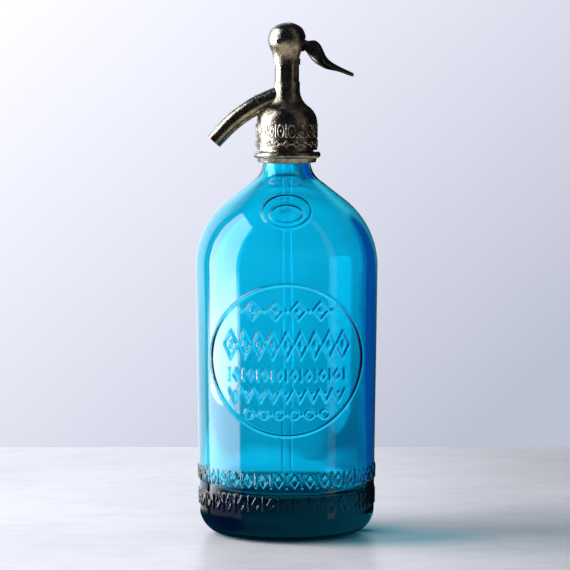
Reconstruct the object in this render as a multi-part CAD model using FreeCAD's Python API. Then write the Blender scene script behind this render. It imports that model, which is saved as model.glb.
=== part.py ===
"""Soda siphon: a glass bottle with a screwed-on metal head, side spout and thumb lever.

All sizes are in millimetres and all angles in degrees. The origin is the centre of the bottle's
foot, +Z is up along the bottle's axis, +X is the side of the lever and -X the side of the spout.
"""
import FreeCAD, Part
import os
from math import asin, atan2, cos, degrees, hypot, pi, radians, sin, sqrt, tan

V = FreeCAD.Vector

# ---------------------------------------------------------------- driving dimensions

# bottle, outside
foot_ring_width = 5.5
punt_depth = 6.0
heel_radius = 15.5
heel_wall_radius = 52.3
body_radius = 54.3
shoulder_height = 159.8
shoulder_radius = 50.7
shoulder_cone_angle = 52.3
neck_blend_radius = 14.3
neck_radius = 14.2
neck_straight = 14.3
bead_height = 4.4
bead_proud = 1.5
lip_height = 3.0
lip_step = 0.7

# bottle, inside
wall = 4.8
base_thickness = 25.8
floor_crown = 8.2
inner_heel_radius = 7.0
mouth_radius = 10.2
mouth_blend_radius = 17.0

# moulded rings on the bottle's front
relief_height = 0.7
relief_width = 1.5
medallion_radius = 45.0
medallion_height = 108.4
crest_half_width = 15.1
crest_half_height = 10.3
crest_height = 194.5
inner_crest_half_width = 10.4
inner_crest_half_height = 6.2
inner_crest_drop = 1.4

# moulded bars in two bands around the front of the heel
bar_width = 1.4
heel_bar_angle = 10.0
upper_bar_count = 19
upper_band_height = 37.6
upper_bar_half_height = 4.6
lower_bar_count = 18
lower_band_height = 23.2
lower_bar_half_height = 5.2

# rows inside the medallion: lozenges at the top, a chain of tall ones, and bars below it
lozenge_line = 1.2
top_row_rise = 28.8
top_lozenge_count = 4
top_lozenge_pitch = 13.2
top_lozenge_half_width = 5.2
top_lozenge_half_height = 6.2
chain_rise = 8.7
chain_count = 9
chain_pitch = 8.2
chain_half_width = 4.5
chain_half_height = 9.2
bar_row_drop = 8.8
bar_row_count = 9
bar_row_pitch = 8.4
bar_row_half_height = 3.9

# dip tube and its ferrule in the bottle's mouth
tube_radius = 3.6
tube_bore_radius = 2.2
tube_floor_gap = 1.2
ferrule_flange_overlap = 1.5
ferrule_flange_thickness = 1.4
ferrule_skirt_length = 12.0
ferrule_wall = 0.9
ferrule_gap = 0.3
seal_lip_thickness = 1.0
glue_gap = 0.05

# split threaded collar around the neck
liner_thickness = 0.35
liner_gap = 0.1
collar_top_gap = 0.3
collar_sleeve_length = 8.3
thread_over_bead = 0.3
thread_gap = 0.15
flange_bead_radius = 2.0
flange_proud = 1.95
tier_step = 0.25
tier_taper = 0.7
tier_height = 2.5
collar_split_gap = 0.3

# cast head: bell, neck and spout socket
bell_joint_gap = 0.9
bell_wall = 2.1
bell_shoulder_radius = 12.0
bell_flare_angle = 55.0
head_neck_straight = 4.7
neck_wall = 1.7
mouth_gasket_thickness = 2.6
valve_foot_gap = 1.09
valve_side_gap = 1.6
seat_bush_height = 4.6
seat_annulus = 1.6
riser_height = 8.1
riser_wall = 2.3
stuffing_depth = 4.3

# spout
socket_slope = 23.0
socket_radius = 5.8
socket_reach = 16.1
socket_drop = 13.1
socket_length = 12.5
joint_ring_width = 0.9
joint_ring_proud = 0.2
spout_start_slope = 27.5
spout_end_slope = 47.4
spout_bend_radius = 77.0
spout_nozzle_length = 8.0
spout_root_radius = 5.7
spout_mouth_radius = 4.95
spout_bore_radius = 3.4
passage_radius = 2.5

# spring barrel between the cast head and the dome
barrel_wall = 1.7
barrel_recess = 0.5
barrel_floor_thickness = 4.0
barrel_spigot_height = 3.0
barrel_spigot_wall = 1.0
barrel_below_button = 2.4
packing_thickness = 1.8
gland_washer_thickness = 0.6

# dome that houses the lever
dome_rim_proud = 0.7
dome_neck_blend_radius = 20.0
dome_ball_radius = 11.43
dome_ball_height = 15.1
dome_crown_radius = 14.0
dome_crown_blend_radius = 6.0
dome_height = 25.3
bore_over_nose = 1.7
slot_side_gap = 0.35
slot_head_gap = 0.3
slot_foot_gap = 0.5
hub_gap = 0.5

# plunger, its button, spring and valve
stem_radius = 1.8
stem_guide_gap = 0.06
nose_radius = 2.6
nose_height = 3.6
button_overlap = 0.55
button_thickness = 1.6
button_side_gap = 0.7
spring_length = 9.7
spring_wire_radius = 0.45
spring_mean_radius = 4.0
spring_turns = 5.0
spring_washer_thickness = 0.5
washer_overlap = 1.8
valve_washer_thickness = 2.0
backing_plate_radius = 4.3
backing_plate_thickness = 0.7
valve_nut_across_flats = 5.6
valve_nut_height = 1.4
stem_tip_length = 0.4

# lever and its pin
pivot_offset = 4.5
pivot_above_nose = 6.0
lever_swing_angle = 14.0
nose_gap = 0.3
nose_slack = 0.1
pin_radius = 1.5
pin_running_gap = 0.06
pin_fit_gap = 0.02
pin_end_proud = 0.1
hub_radius = 3.2
root_thickness = 6.0
root_height = 7.4
root_length = 15.0
root_heel_offset = 2.0
leaf_length = 29.3
leaf_drop = 13.9
leaf_wall = 1.5
leaf_half_width = 7.2

# The leaf's form from its root to its tip. Each station gives its place along the leaf's length,
# how far the crest and the rim lie below the root's top in leaf drops, its half width in leaf
# half widths, and how deep the hollow underneath is, from 0 for none to 1 for a wall's thickness.
leaf_stations = (
    (0.00, 0.00, 0.48, 0.42, 0.0),
    (0.13, 0.06, 0.83, 0.56, 0.35),
    (0.24, 0.08, 1.05, 0.80, 1.0),
    (0.33, 0.26, 1.17, 0.97, 1.0),
    (0.43, 0.69, 1.27, 1.00, 1.0),
    (0.57, 1.00, 1.34, 0.89, 1.0),
    (0.74, 1.20, 1.43, 0.64, 0.8),
    (0.88, 1.34, 1.54, 0.38, 0.3),
    (1.00, 1.46, 1.60, 0.14, 0.0),
)

# ---------------------------------------------------------------- derived places

cone = radians(shoulder_cone_angle)
foot_ring_outer_radius = heel_wall_radius - heel_radius
foot_ring_inner_radius = foot_ring_outer_radius - foot_ring_width
shoulder_centre_radius = body_radius - shoulder_radius
cone_start_radius = shoulder_centre_radius + shoulder_radius * cos(cone)
cone_start_height = shoulder_height + shoulder_radius * sin(cone)
cone_end_radius = neck_radius + neck_blend_radius * (1 - cos(cone))
cone_end_height = cone_start_height + (cone_start_radius - cone_end_radius) / tan(cone)
neck_base_height = cone_end_height + neck_blend_radius * sin(cone)
bead_bottom = neck_base_height + neck_straight
bead_top = bead_bottom + bead_height
bead_radius = neck_radius + bead_proud
lip_top = bead_top + lip_height
lip_radius = neck_radius - lip_step

ferrule_flange_radius = mouth_radius + ferrule_flange_overlap
ferrule_skirt_radius = mouth_radius - ferrule_gap
ferrule_top = lip_top + ferrule_flange_thickness
gasket_top = lip_top + mouth_gasket_thickness

collar_inner_radius = neck_radius + liner_thickness + 2 * liner_gap
collar_thread_radius = bead_radius + thread_over_bead
collar_top = bead_bottom - collar_top_gap
flange_top = collar_top - collar_sleeve_length
flange_centre = flange_top - flange_bead_radius
tier_top = flange_centre - flange_bead_radius
collar_bottom = tier_top - tier_height

bell_bore_radius = collar_thread_radius + thread_gap
bell_radius = bell_bore_radius + bell_wall
bell_bottom = flange_top + bell_joint_gap
flange_outer_radius = bell_radius + flange_proud
tier_radius = bell_radius - tier_step

button_radius = spring_mean_radius + spring_wire_radius + button_overlap
spring_chamber_radius = button_radius + button_side_gap
barrel_radius = spring_chamber_radius + barrel_wall
barrel_spigot_radius = spring_chamber_radius + barrel_spigot_wall
head_neck_radius = barrel_radius + barrel_recess
stuffing_radius = head_neck_radius - neck_wall
riser_radius = stuffing_radius - riser_wall
seat_bore_radius = stem_radius + seat_annulus
valve_washer_radius = seat_bore_radius + washer_overlap
valve_chamber_radius = valve_washer_radius + valve_side_gap
dome_rim_radius = barrel_radius + dome_rim_proud

swing = radians(lever_swing_angle)
lever_drop = pivot_offset * tan(swing) + pivot_above_nose * (1 / cos(swing) - 1)
valve_travel = lever_drop + nose_slack
valve_stack = valve_washer_thickness + backing_plate_thickness + valve_nut_height + stem_tip_length

seat_face = ferrule_top + valve_foot_gap + valve_travel + valve_stack
seat_top = seat_face + seat_bush_height
stuffing_bottom = seat_top + riser_height
head_top = stuffing_bottom + stuffing_depth
head_neck_start = head_top - head_neck_straight
flare = radians(bell_flare_angle)
flare_radius = bell_radius - bell_shoulder_radius * (1 - cos(flare))
flare_blend_radius = (flare_radius - head_neck_radius) / (1 - cos(flare))
flare_height = head_neck_start - flare_blend_radius * sin(flare)
bell_shoulder_start = flare_height - bell_shoulder_radius * sin(flare)
spout_root = V(-socket_reach, 0, head_top - socket_drop)
spout_bend_length = spout_bend_radius * radians(spout_end_slope - spout_start_slope)
spout_length = spout_bend_length + spout_nozzle_length
spout_taper = (spout_mouth_radius - spout_root_radius) / spout_length

gland_washer_bottom = stuffing_bottom + packing_thickness
barrel_bottom = gland_washer_bottom + gland_washer_thickness
spring_chamber_floor = barrel_bottom + barrel_floor_thickness
spring_bottom = spring_chamber_floor + spring_washer_thickness
button_bottom = spring_bottom + spring_length
button_top = button_bottom + button_thickness
nose_top = button_top + nose_height
barrel_shoulder_top = button_bottom - barrel_below_button
barrel_top = barrel_shoulder_top + barrel_spigot_height

lever_under = nose_top + nose_gap
root_top = lever_under + root_height
pivot = V(-pivot_offset, 0, lever_under + pivot_above_nose)
slot_half_width = root_thickness / 2 + slot_side_gap

dome_bottom = barrel_shoulder_top
ball_centre = dome_bottom + dome_ball_height
dome_top = dome_bottom + dome_height
crown_centre = dome_top - dome_crown_radius
dome_bore_top = nose_top + bore_over_nose


# ---------------------------------------------------------------- outlines and solids


class Outline:
    """A closed outline in the half plane of radius and height, drawn with lines and arcs."""

    def __init__(self, radius, height):
        self.start = V(radius, 0, height)
        self.at = self.start
        self.edges = []

    def line(self, radius, height):
        end = V(radius, 0, height)
        if self.at.distanceToPoint(end) > 1e-6:
            self.edges.append(Part.makeLine(self.at, end))
            self.at = end
        return self

    def arc(self, centre, radius, start_angle, end_angle):
        """An arc about centre (radius, height) from start_angle to end_angle."""
        points = []
        for angle in (start_angle, (start_angle + end_angle) / 2, end_angle):
            turn = radians(angle)
            points.append(V(centre[0] + radius * cos(turn), 0, centre[1] + radius * sin(turn)))
        self.line(points[0].x, points[0].z)
        self.edges.append(Part.Arc(*points).toShape())
        self.at = points[2]
        return self

    def spun(self):
        """The solid of revolution about the bottle's axis."""
        self.line(self.start.x, self.start.z)
        return Part.Face(Part.Wire(self.edges)).revolve(V(0, 0, 0), V(0, 0, 1), 360)


def ring(outer, inner, bottom, top):
    """A flat ring about the axis."""
    return Outline(inner, bottom).line(outer, bottom).line(outer, top).line(inner, top).spun()


def disc(radius, bottom, top):
    return Part.makeCylinder(radius, top - bottom, V(0, 0, bottom))


def cross_bar(radius, half_length, at):
    """A round bar along Y, centred on a point of the plane of the lever."""
    return Part.makeCylinder(radius, 2 * half_length, at - V(0, half_length, 0), V(0, 1, 0))


def down(slope):
    """The unit direction that falls towards -X at a slope."""
    return V(-cos(radians(slope)), 0, -sin(radians(slope)))


def circle_wire(centre, normal, radius):
    return Part.Wire(Part.Circle(centre, normal, radius).toShape())


# ---------------------------------------------------------------- bottle


def bottle_outside(extra):
    """The outline of the bottle's outside up to the bead, grown outwards by extra."""
    punt_radius = (foot_ring_inner_radius**2 + punt_depth**2) / (2 * punt_depth)
    punt_half_angle = degrees(asin(foot_ring_inner_radius / punt_radius))
    heel_centre = (foot_ring_outer_radius + extra, heel_radius)
    shoulder_centre = (shoulder_centre_radius, shoulder_height)
    neck_centre = (neck_radius + neck_blend_radius, neck_base_height)
    neck_arc_start = 180 + shoulder_cone_angle
    outline = Outline(0, punt_depth)
    outline.arc((0, punt_depth - punt_radius), punt_radius, 90, 90 - punt_half_angle)
    outline.arc(heel_centre, heel_radius, -90, 0)
    outline.line(body_radius + extra, shoulder_height)
    outline.arc(shoulder_centre, shoulder_radius + extra, 0, shoulder_cone_angle)
    outline.arc(neck_centre, neck_blend_radius - extra, neck_arc_start, 180)
    return outline.line(neck_radius + extra, bead_bottom)


def bottle_inside():
    """The space inside the bottle, from the base's crowned floor to the mouth."""
    floor_edge = heel_wall_radius - wall - inner_heel_radius
    crown_radius = (floor_edge**2 + floor_crown**2) / (2 * floor_crown)
    crown_half_angle = degrees(asin(floor_edge / crown_radius))
    floor_top = base_thickness + floor_crown
    inner_shoulder = shoulder_radius - wall
    inner_start_radius = shoulder_centre_radius + inner_shoulder * cos(cone)
    inner_start_height = shoulder_height + inner_shoulder * sin(cone)
    inner_end_radius = mouth_radius + mouth_blend_radius * (1 - cos(cone))
    inner_end_height = inner_start_height + (inner_start_radius - inner_end_radius) / tan(cone)
    bore_centre_height = inner_end_height + mouth_blend_radius * sin(cone)
    bore_centre = (mouth_radius + mouth_blend_radius, bore_centre_height)
    bore_arc_start = 180 + shoulder_cone_angle
    outline = Outline(0, floor_top)
    outline.arc((0, floor_top - crown_radius), crown_radius, 90, 90 - crown_half_angle)
    outline.arc((floor_edge, base_thickness + inner_heel_radius), inner_heel_radius, -90, 0)
    outline.line(body_radius - wall, shoulder_height)
    outline.arc((shoulder_centre_radius, shoulder_height), inner_shoulder, 0, shoulder_cone_angle)
    outline.arc(bore_centre, mouth_blend_radius, bore_arc_start, 180)
    return outline.line(mouth_radius, lip_top).line(0, lip_top).spun()


def oval_wire(half_width, half_height):
    """An upright oval in the plane of width and height, about the origin."""
    oval = Part.Ellipse(V(0, 0, 0), max(half_width, half_height), min(half_width, half_height))
    wire = Part.Wire(oval.toShape())
    if half_width < half_height:
        wire.rotate(V(0, 0, 0), V(0, 0, 1), 90)
    wire.rotate(V(0, 0, 0), V(1, 0, 0), 90)
    return wire


def oval_frame(half_width, half_height, height):
    """An oval tube along Y whose wall is one relief line wide, on the front side only."""
    pieces = []
    for inset in (0, relief_width):
        wire = oval_wire(half_width - inset, half_height - inset)
        wire.translate(V(0, 0, height))
        pieces.append(Part.Face(wire).extrude(V(0, -2 * body_radius, 0)))
    return pieces[0].cut(pieces[1])


def row_places(count, pitch):
    """Places along a row that is centred on the bottle's middle."""
    return [pitch * (number - (count - 1) / 2) for number in range(count)]


def heel_bars(count, height, half_height):
    """Upright bars around the front of the heel, from inside the wall outwards."""
    inner = heel_wall_radius - wall / 2
    corner = V(-bar_width / 2, -2 * body_radius, height - half_height)
    bars = []
    for angle in row_places(count, heel_bar_angle):
        bar = Part.makeBox(bar_width, 2 * body_radius - inner, 2 * half_height, corner)
        bar.rotate(V(0, 0, 0), V(0, 0, 1), angle)
        bars.append(bar)
    return bars


def lozenge(x, height, half_width, half_height):
    """An upright lozenge as a prism along Y, on the front side only."""
    corners = [
        V(x + half_width, 0, height),
        V(x, 0, height + half_height),
        V(x - half_width, 0, height),
        V(x, 0, height - half_height),
        V(x + half_width, 0, height),
    ]
    return Part.Face(Part.makePolygon(corners)).extrude(V(0, -2 * body_radius, 0))


def lozenge_row(count, pitch, height, half_width, half_height):
    """A row of lozenges drawn with a line of even width."""
    line_share = lozenge_line * hypot(half_width, half_height) / (half_width * half_height)
    places = row_places(count, pitch)
    frames = []
    for x in places:
        whole = lozenge(x, height, half_width, half_height)
        hollow = lozenge(x, height, half_width * (1 - line_share), half_height * (1 - line_share))
        frames.append(whole.cut(hollow))
    return frames[0].fuse(frames[1:])


def bar_row():
    """The row of short upright bars below the chain of lozenges."""
    bottom = medallion_height - bar_row_drop - bar_row_half_height
    bars = []
    for x in row_places(bar_row_count, bar_row_pitch):
        corner = V(x - bar_width / 2, -2 * body_radius, bottom)
        bars.append(Part.makeBox(bar_width, 2 * body_radius, 2 * bar_row_half_height, corner))
    return bars


def moulded_shapes():
    """The ornament's outlines as solids that reach through the bottle's wall."""
    crest_middle = crest_height - inner_crest_drop
    shapes = [
        oval_frame(medallion_radius, medallion_radius, medallion_height),
        oval_frame(crest_half_width, crest_half_height, crest_height),
        oval_frame(inner_crest_half_width, inner_crest_half_height, crest_middle),
        lozenge_row(
            top_lozenge_count,
            top_lozenge_pitch,
            medallion_height + top_row_rise,
            top_lozenge_half_width,
            top_lozenge_half_height,
        ),
        lozenge_row(
            chain_count,
            chain_pitch,
            medallion_height + chain_rise,
            chain_half_width,
            chain_half_height,
        ),
    ]
    shapes += bar_row()
    shapes += heel_bars(upper_bar_count, upper_band_height, upper_bar_half_height)
    return shapes + heel_bars(lower_bar_count, lower_band_height, lower_bar_half_height)


def bottle():
    bead_arc_radius = (bead_height**2 / 4 + bead_proud**2) / (2 * bead_proud)
    bead_half_angle = degrees(asin(bead_height / 2 / bead_arc_radius))
    bead_centre = (bead_radius - bead_arc_radius, (bead_bottom + bead_top) / 2)
    outside = bottle_outside(0)
    outside.arc(bead_centre, bead_arc_radius, -bead_half_angle, bead_half_angle)
    outside.line(lip_radius, bead_top)
    outside.line(lip_radius, lip_top)
    glass = outside.line(0, lip_top).spun()
    raised = bottle_outside(relief_height).line(0, bead_bottom).spun()
    ornament = [raised.common(shape) for shape in moulded_shapes()]
    return glass.fuse(ornament).cut(bottle_inside())


# ---------------------------------------------------------------- dip tube group


def dip_tube():
    tube_bottom = base_thickness + floor_crown + tube_floor_gap
    return ring(tube_radius, tube_bore_radius, tube_bottom, lip_top)


def tube_ferrule():
    """A flanged bush that hangs in the mouth and carries the dip tube."""
    skirt_bottom = lip_top - ferrule_skirt_length
    skirt_inner_radius = ferrule_skirt_radius - ferrule_wall
    outline = Outline(skirt_inner_radius, skirt_bottom)
    outline.line(ferrule_skirt_radius, skirt_bottom)
    outline.line(ferrule_skirt_radius, lip_top)
    outline.line(ferrule_flange_radius, lip_top)
    outline.line(ferrule_flange_radius, ferrule_top)
    outline.line(tube_bore_radius, ferrule_top)
    outline.line(tube_bore_radius, lip_top)
    return outline.line(skirt_inner_radius, lip_top).spun()


def tube_seal():
    """The rubber sleeve that grips the dip tube inside the ferrule's skirt."""
    sleeve_radius = ferrule_skirt_radius - ferrule_wall - glue_gap
    bottom = lip_top - ferrule_skirt_length - seal_lip_thickness
    return ring(sleeve_radius, tube_radius + glue_gap, bottom, lip_top)


def mouth_gasket():
    return ring(lip_radius, ferrule_flange_radius + glue_gap, lip_top, gasket_top)


# ---------------------------------------------------------------- collar group


def neck_surface(height):
    """The glass neck's outer radius at a height within its straight or its concave blend."""
    below = max(0, neck_base_height - height)
    return neck_radius + neck_blend_radius - sqrt(neck_blend_radius**2 - below**2)


def collar_liner():
    """The thin strip between the glass and the collar, which peeps out below the collar."""
    bottom = collar_bottom - liner_thickness
    sleeve_bottom = max(neck_base_height, bottom)
    inner = neck_radius + liner_gap
    blend_radius = neck_blend_radius - liner_gap
    reach = degrees(asin((sleeve_bottom - bottom) / blend_radius))
    outline = Outline(inner, collar_top)
    outline.line(inner, sleeve_bottom)
    if reach > 0:
        outline.arc((inner + blend_radius, sleeve_bottom), blend_radius, 180, 180 + reach)
    outline.line(outline.at.x + liner_thickness, bottom)
    outline.line(inner + liner_thickness, sleeve_bottom)
    return outline.line(inner + liner_thickness, collar_top).spun()


def collar_half_rear():
    """Half of the split collar: threaded sleeve, round flange and lower tier."""
    inner_foot = neck_surface(collar_bottom) + 2 * liner_gap + 2 * liner_thickness
    bead_centre = (flange_outer_radius - flange_bead_radius, flange_centre)
    outline = Outline(collar_inner_radius, collar_top)
    outline.line(collar_inner_radius, max(neck_base_height, flange_centre))
    outline.line(inner_foot, collar_bottom)
    outline.line(tier_radius - tier_taper, collar_bottom)
    outline.line(tier_radius, tier_top)
    outline.arc(bead_centre, flange_bead_radius, -90, 90)
    outline.line(collar_thread_radius, flange_top)
    whole = outline.line(collar_thread_radius, collar_top).spun()
    reach = 2 * flange_outer_radius
    corner = V(-reach, collar_split_gap / 2, collar_bottom)
    return whole.common(Part.makeBox(2 * reach, reach, collar_top - collar_bottom, corner))


def collar_half_front():
    return collar_half_rear().mirror(V(0, 0, 0), V(0, 1, 0))


# ---------------------------------------------------------------- cast head and spout


def spout_socket():
    """The boss on the head that the spout tube is joined to."""
    inner_end = spout_root - down(socket_slope) * socket_length
    seam = circle_wire(spout_root, down(spout_start_slope), socket_radius)
    buried = circle_wire(inner_end, down(socket_slope), socket_radius)
    return Part.makeLoft([seam, buried], True, True)


def spout_passage():
    """The drilled way from the riser to the spout tube, a little longer than its wall."""
    reach = socket_reach / cos(radians(socket_slope))
    start = spout_root + down(socket_slope) * spout_bore_radius
    direction = down(socket_slope) * -1
    return Part.makeCylinder(passage_radius, reach + spout_bore_radius, start, direction)


def head_body():
    """The casting: bell over the collar, flared neck and spout socket, with its bores.

    The bell's shoulder has a scallop where the spout tube lies against it.
    """
    shoulder_centre = (bell_radius - bell_shoulder_radius, bell_shoulder_start)
    flare_centre = (head_neck_radius + flare_blend_radius, head_neck_start)
    outline = Outline(0, bell_bottom).line(bell_radius, bell_bottom)
    outline.arc(shoulder_centre, bell_shoulder_radius, 0, bell_flare_angle)
    outline.arc(flare_centre, flare_blend_radius, 180 + bell_flare_angle, 180)
    casting = outline.line(head_neck_radius, head_top).line(0, head_top).spun()
    casting = casting.fuse(spout_socket())
    for radius, bottom, top in (
        (bell_bore_radius, bell_bottom, gasket_top),
        (valve_chamber_radius, gasket_top, seat_top),
        (riser_radius, seat_top, stuffing_bottom),
        (stuffing_radius, stuffing_bottom, head_top),
    ):
        casting = casting.cut(disc(radius, bottom, top))
    scallop = seam_disc(socket_radius + joint_ring_proud + glue_gap).fuse(spout_bend(glue_gap))
    return casting.cut(scallop).cut(spout_passage())


def valve_seat():
    return ring(valve_chamber_radius - glue_gap, seat_bore_radius, seat_face, seat_top)


def seam_disc(radius):
    """A disc as thick as the joint ring, in the ring's place."""
    return Part.makeCylinder(radius, joint_ring_width, spout_root, down(spout_start_slope))


def spout_joint_ring():
    """The thin ring in the seam between the socket and the spout tube."""
    return seam_disc(socket_radius + joint_ring_proud).cut(seam_disc(spout_bore_radius))


def spout_axis(share):
    """The point at a share of the spout's bend, and the slope of the spout there."""
    slope = spout_start_slope + (spout_end_slope - spout_start_slope) * share
    first, here = radians(spout_start_slope), radians(slope)
    start = spout_root + down(spout_start_slope) * joint_ring_width
    run = spout_bend_radius * (sin(here) - sin(first))
    fall = spout_bend_radius * (cos(first) - cos(here))
    return start - V(run, 0, fall), slope


def spout_bend(extra):
    """The bent part of the spout as a solid bar, grown outwards by extra."""
    circle_count = 7
    circles = []
    for index in range(circle_count):
        share = index / (circle_count - 1)
        point, slope = spout_axis(share)
        radius = spout_root_radius + spout_taper * share * spout_bend_length + extra
        circles.append(circle_wire(point, down(slope), radius))
    return Part.makeLoft(circles, True, False)


def spout_tube():
    """The bent spout, which tapers to its mouth and ends in a straight nozzle bore."""
    start, start_slope = spout_axis(0)
    middle, middle_slope = spout_axis(0.5)
    end, end_slope = spout_axis(1)
    bend_bore_path = Part.Wire(Part.Arc(start, middle, end).toShape())
    bend_bore_circle = circle_wire(start, down(start_slope), spout_bore_radius)
    bend_bore = bend_bore_path.makePipeShell([bend_bore_circle], True, True)
    nozzle_way = (spout_nozzle_length, end, down(end_slope))
    nozzle_start_radius = spout_root_radius + spout_taper * spout_bend_length
    nozzle = Part.makeCone(nozzle_start_radius, spout_mouth_radius, *nozzle_way)
    nozzle = nozzle.cut(Part.makeCylinder(spout_bore_radius, *nozzle_way))
    return spout_bend(0).cut(bend_bore).fuse(nozzle)


# ---------------------------------------------------------------- gland, barrel and dome


def packing_ring():
    inner = stem_radius + stem_guide_gap
    return ring(stuffing_radius - glue_gap, inner, stuffing_bottom, gland_washer_bottom)


def gland_washer():
    inner = stem_radius + stem_guide_gap
    return ring(stuffing_radius - glue_gap, inner, gland_washer_bottom, barrel_bottom)


def spring_barrel():
    """The tube with a guide in its floor that holds the spring and joins the head to the dome."""
    foot_radius = stuffing_radius - glue_gap
    guide_radius = stem_radius + stem_guide_gap
    outline = Outline(guide_radius, barrel_bottom)
    outline.line(foot_radius, barrel_bottom)
    outline.line(foot_radius, head_top)
    outline.line(barrel_radius, head_top)
    outline.line(barrel_radius, barrel_shoulder_top)
    outline.line(barrel_spigot_radius, barrel_shoulder_top)
    outline.line(barrel_spigot_radius, barrel_top)
    outline.line(spring_chamber_radius, barrel_top)
    outline.line(spring_chamber_radius, spring_chamber_floor)
    return outline.line(guide_radius, spring_chamber_floor).spun()


def dome_outside():
    """A ball on a waisted neck, with a flatter crown that is blended into the ball."""
    waist_centre_radius = dome_rim_radius + dome_neck_blend_radius
    waist_rise = sqrt((dome_ball_radius + dome_neck_blend_radius) ** 2 - waist_centre_radius**2)
    waist_centre = (waist_centre_radius, ball_centre - waist_rise)
    waist_angle = degrees(atan2(waist_rise, waist_centre_radius))
    ball_reach = dome_ball_radius - dome_crown_blend_radius
    crown_reach = dome_crown_radius - dome_crown_blend_radius
    between = ball_centre - crown_centre
    blend_rise = (crown_reach**2 - ball_reach**2 + between**2) / (2 * between)
    blend_radius = sqrt(crown_reach**2 - blend_rise**2)
    blend_centre = (blend_radius, crown_centre + blend_rise)
    ball_angle = degrees(atan2(blend_rise - between, blend_radius))
    crown_angle = degrees(atan2(blend_rise, blend_radius))
    outline = Outline(0, dome_bottom).line(dome_rim_radius, dome_bottom)
    outline.arc(waist_centre, dome_neck_blend_radius, 180, 180 - waist_angle)
    outline.arc((0, ball_centre), dome_ball_radius, -waist_angle, ball_angle)
    outline.arc(blend_centre, dome_crown_blend_radius, ball_angle, crown_angle)
    outline.arc((0, crown_centre), dome_crown_radius, crown_angle, 90)
    return outline.spun()


def lever_slot():
    """The slot that the lever's root turns in, open towards the lever's side."""
    turn = FreeCAD.Rotation(V(0, 1, 0), lever_swing_angle)
    edge = V(dome_ball_radius, 0, lever_under)
    lowest = (pivot + turn.multVec(edge - pivot)).z
    bottom = lowest - slot_foot_gap
    height = root_top + slot_head_gap - bottom
    corner = V(pivot.x, -slot_half_width, bottom)
    mouth = Part.makeBox(2 * dome_ball_radius, 2 * slot_half_width, height, corner)
    return mouth.fuse(cross_bar(hub_radius + hub_gap, slot_half_width, pivot))


def dome_cap():
    cap = dome_outside()
    cap = cap.cut(disc(barrel_spigot_radius + thread_gap, dome_bottom, barrel_top))
    cap = cap.cut(disc(spring_chamber_radius, barrel_top, dome_bore_top))
    cap = cap.cut(lever_slot())
    return cap.cut(cross_bar(pin_radius + pin_fit_gap, dome_ball_radius, pivot))


# ---------------------------------------------------------------- plunger group


def plunger():
    """The stem that carries the valve at its foot and a rounded nose under the lever."""
    stem = disc(stem_radius, seat_face - valve_stack, button_top)
    nose = Outline(0, button_top).line(nose_radius, button_top)
    nose.arc((0, nose_top - nose_radius), nose_radius, 0, 90)
    return stem.fuse(nose.spun())


def plunger_button():
    """The flange under the nose that the spring pushes up."""
    return ring(button_radius, stem_radius + glue_gap, button_bottom, button_top)


def valve_washer():
    bottom = seat_face - valve_washer_thickness
    return ring(valve_washer_radius, stem_radius + glue_gap, bottom, seat_face)


def backing_plate():
    top = seat_face - valve_washer_thickness
    bottom = top - backing_plate_thickness
    return ring(backing_plate_radius, stem_radius + glue_gap, bottom, top)


def valve_nut():
    top = seat_face - valve_washer_thickness - backing_plate_thickness
    bottom = top - valve_nut_height
    corner = valve_nut_across_flats / 2 / cos(pi / 6)
    points = [V(corner * cos(i * pi / 3), corner * sin(i * pi / 3), bottom) for i in range(7)]
    hexagon = Part.Face(Part.makePolygon(points)).extrude(V(0, 0, valve_nut_height))
    return hexagon.cut(disc(stem_radius + glue_gap, bottom, top))


def spring_washer():
    outer = spring_chamber_radius - glue_gap
    return ring(outer, stem_radius + stem_guide_gap, spring_chamber_floor, spring_bottom)


def plunger_spring():
    """The return spring, a round wire wound between its washer and the button."""
    start = V(spring_mean_radius, 0, spring_bottom + spring_wire_radius)
    height = spring_length - 2 * spring_wire_radius
    path = Part.makeHelix(height / spring_turns, height, spring_mean_radius)
    path.translate(V(0, 0, start.z))
    wire_section = circle_wire(start, V(0, 1, 0), spring_wire_radius)
    return Part.Wire(path).makePipeShell([wire_section], True, True)


# ---------------------------------------------------------------- lever and pin


def lever_pin():
    half_length_squared = dome_ball_radius**2 - pivot_offset**2 - (pivot.z - ball_centre) ** 2
    return cross_bar(pin_radius, sqrt(half_length_squared) + pin_end_proud, pivot)


def leaf_section(x, crest, rim, half_width):
    """An upside-down U in a plane across the leaf, closed by a straight line at the rim."""
    flank_width = 0.82 * half_width
    flank_height = rim + 0.62 * (crest - rim)
    points = [
        V(x, -half_width, rim),
        V(x, -flank_width, flank_height),
        V(x, 0, crest),
        V(x, flank_width, flank_height),
        V(x, half_width, rim),
    ]
    curve = Part.BSplineCurve()
    curve.interpolate(points)
    return Part.Wire([curve.toShape(), Part.makeLine(points[-1], points[0])])


def leaf():
    """The cupped thumb piece: a pointed leaf, hollow underneath."""
    outer = []
    inner = []
    for place, crest_drop, rim_drop, width, hollow in leaf_stations:
        x = pivot.x + root_length + leaf_length * place
        crest = root_top - leaf_drop * crest_drop
        rim = root_top - leaf_drop * rim_drop
        half_width = leaf_half_width * width
        outer.append(leaf_section(x, crest, rim, half_width))
        if hollow:
            roof = rim + hollow * (crest - leaf_wall - rim)
            inner.append(leaf_section(x, roof, rim - leaf_wall, half_width - leaf_wall))
    return Part.makeLoft(outer, True, False).cut(Part.makeLoft(inner, True, False))


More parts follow.
